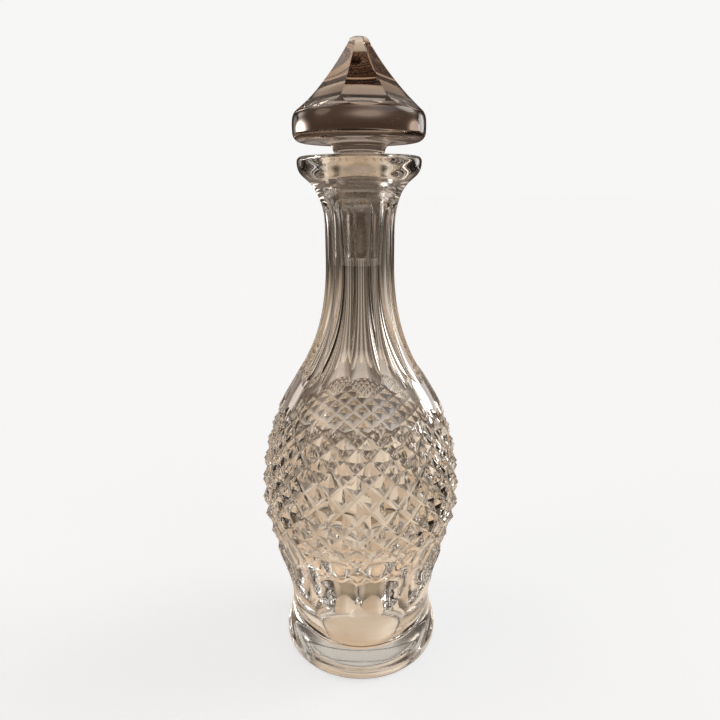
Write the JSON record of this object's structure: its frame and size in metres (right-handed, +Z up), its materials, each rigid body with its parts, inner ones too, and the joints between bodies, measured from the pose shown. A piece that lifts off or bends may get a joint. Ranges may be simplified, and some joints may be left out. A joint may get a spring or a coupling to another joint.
{
  "type": "cut crystal decanter",
  "caption": "Tall cut crystal decanter with a waisted diamond-cut body, fluted neck, thick round foot and a pointed faceted stopper.",
  "frame": {"origin": "centre of the foot's flat underside, where the decanter stands on the table", "axes": "+Z up along the decanter's axis to the stopper's tip; -Y faces a diamond column's points and the middle of a neck flute"},
  "size_m": [0.112, 0.112, 0.33],
  "materials": {
    "body_crystal": "polished cut lead crystal",
    "stopper_crystal": "polished cut lead crystal with a ground peg"
  },
  "bodies": {
    "decanter": {"decanter_body": "body_crystal"},
    "stopper": {"stopper": "stopper_crystal"}
  },
  "joints": [
    {"name": "stopper_lift", "type": "slide", "parent": "decanter", "child": "stopper", "axis": [0, 0, 1], "range_m": [0, 0.06]}
  ]
}
